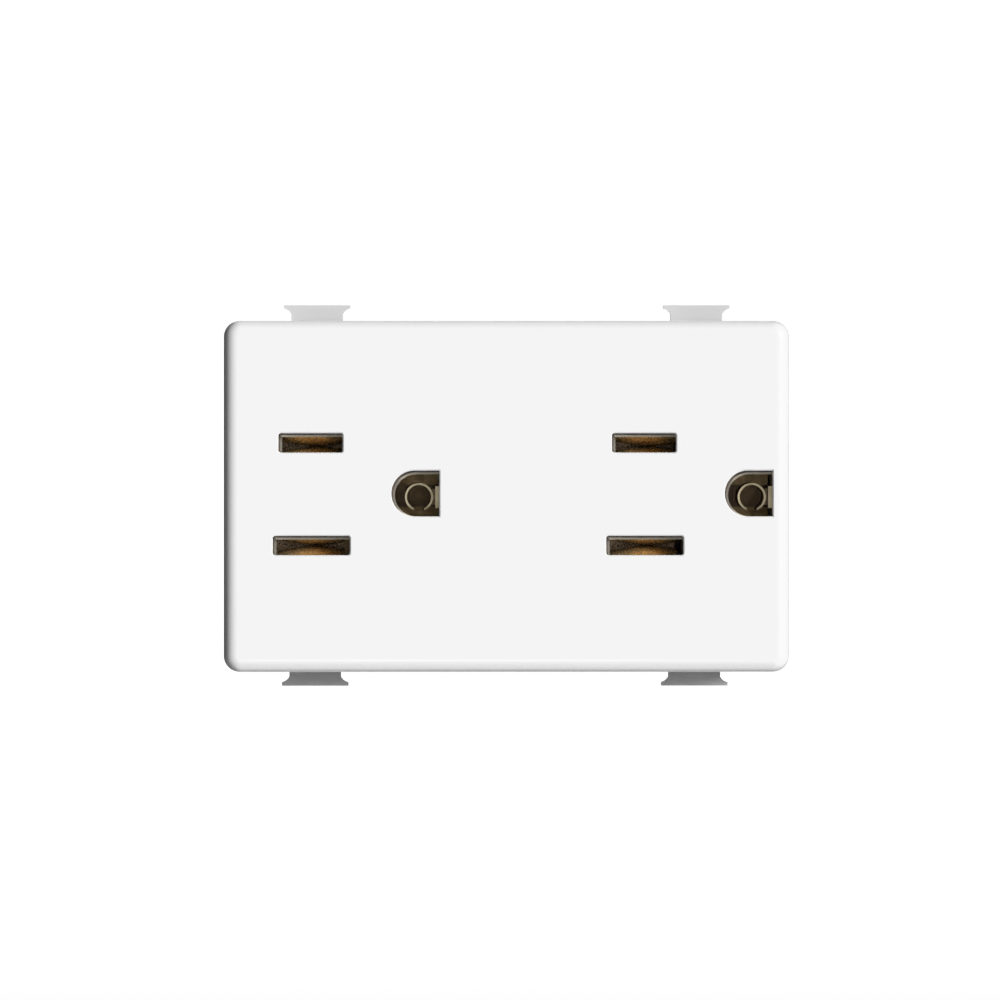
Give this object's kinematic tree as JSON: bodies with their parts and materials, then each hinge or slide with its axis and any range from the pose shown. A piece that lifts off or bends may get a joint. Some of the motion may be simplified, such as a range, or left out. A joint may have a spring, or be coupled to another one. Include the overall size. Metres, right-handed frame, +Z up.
{
  "type": "duplex wall outlet",
  "caption": "Snap-in duplex wall outlet: rounded white rectangular face with a narrow slot, a wide slot and a U-shaped earth hole per socket, on a boxed body with screw terminals behind.",
  "frame": {"origin": "centre of the insert, in the plane of the cover's rear rims, which rest on the support frame", "axes": "+Y into the wall, +X to the right seen from the room, +Z up"},
  "size_m": [0.07, 0.0375, 0.0474],
  "materials": {
    "cover_plastic": "smooth gloss",
    "latch_plastic": "satin",
    "carrier_resin": "smooth moulded thermoset",
    "housing_plastic": "fine moulded texture",
    "contact_brass": "rolled sheet, slightly tarnished",
    "sleeve_brass": "rolled sheet, tin-washed",
    "bus_brass": "rolled sheet",
    "rivet_brass": "turned",
    "terminal_steel": "zinc plated",
    "screw_steel": "zinc plated"
  },
  "bodies": {
    "insert": {"front_cover": "cover_plastic", "contact_carrier": "carrier_resin", "left_hot_contact": "contact_brass", "left_neutral_contact": "contact_brass", "left_earth_sleeve": "sleeve_brass", "right_hot_contact": "contact_brass", "right_neutral_contact": "contact_brass", "right_earth_sleeve": "sleeve_brass", "hot_bus_bar": "bus_brass", "neutral_bus_bar": "bus_brass", "earth_bus_bar": "bus_brass", "hot_terminal_nut": "terminal_steel", "earth_terminal_nut": "terminal_steel", "neutral_terminal_nut": "terminal_steel", "rear_housing": "housing_plastic", "bus_rivets": "rivet_brass", "cover_screws": "screw_steel"},
    "hot_plate": {"hot_clamp_plate": "terminal_steel"},
    "hot_screw": {"hot_terminal_screw": "screw_steel"},
    "earth_plate": {"earth_clamp_plate": "terminal_steel"},
    "earth_screw": {"earth_terminal_screw": "screw_steel"},
    "neutral_plate": {"neutral_clamp_plate": "terminal_steel"},
    "neutral_screw": {"neutral_terminal_screw": "screw_steel"},
    "top_left_catch": {"top_left_latch": "latch_plastic"},
    "top_right_catch": {"top_right_latch": "latch_plastic"},
    "bottom_left_catch": {"bottom_left_latch": "latch_plastic"},
    "bottom_right_catch": {"bottom_right_latch": "latch_plastic"}
  },
  "joints": [
    {"name": "hot_plate_slide", "type": "slide", "parent": "insert", "child": "hot_plate", "axis": [0, -1, 0], "range_m": [0, 0.0021]},
    {"name": "hot_screw_turn", "type": "hinge", "parent": "hot_plate", "child": "hot_screw", "pos_m": [-0.0134, 0.0238, -0.0105], "axis": [0, -1, 0], "range_deg": [0, 1080]},
    {"name": "earth_plate_slide", "type": "slide", "parent": "insert", "child": "earth_plate", "axis": [0, -1, 0], "range_m": [0, 0.0021]},
    {"name": "earth_screw_turn", "type": "hinge", "parent": "earth_plate", "child": "earth_screw", "pos_m": [0, 0.0238, -0.0105], "axis": [0, -1, 0], "range_deg": [0, 1080]},
    {"name": "neutral_plate_slide", "type": "slide", "parent": "insert", "child": "neutral_plate", "axis": [0, -1, 0], "range_m": [0, 0.0021]},
    {"name": "neutral_screw_turn", "type": "hinge", "parent": "neutral_plate", "child": "neutral_screw", "pos_m": [0.0134, 0.0238, -0.0105], "axis": [0, -1, 0], "range_deg": [0, 1080]},
    {"name": "top_left_latch_flex", "type": "hinge", "parent": "insert", "child": "top_left_catch", "pos_m": [-0.02335, 0.0124, 0.0176], "axis": [1, 0, 0], "range_deg": [0, 12.5], "stiffness_Nm_per_rad": 0.6},
    {"name": "top_right_latch_flex", "type": "hinge", "parent": "insert", "child": "top_right_catch", "pos_m": [0.02385, 0.0124, 0.0176], "axis": [1, 0, 0], "range_deg": [0, 12.5], "stiffness_Nm_per_rad": 0.6},
    {"name": "bottom_left_latch_flex", "type": "hinge", "parent": "insert", "child": "bottom_left_catch", "pos_m": [-0.0236, 0.0124, -0.0176], "axis": [-1, 0, 0], "range_deg": [0, 12.5], "stiffness_Nm_per_rad": 0.6},
    {"name": "bottom_right_latch_flex", "type": "hinge", "parent": "insert", "child": "bottom_right_catch", "pos_m": [0.0236, 0.0124, -0.0176], "axis": [-1, 0, 0], "range_deg": [0, 12.5], "stiffness_Nm_per_rad": 0.6}
  ],
  "couplings": [
    {"joint": "hot_screw_turn", "follows": "hot_plate_slide", "rad_per_m": 8976},
    {"joint": "earth_screw_turn", "follows": "earth_plate_slide", "rad_per_m": 8976},
    {"joint": "neutral_screw_turn", "follows": "neutral_plate_slide", "rad_per_m": 8976}
  ]
}
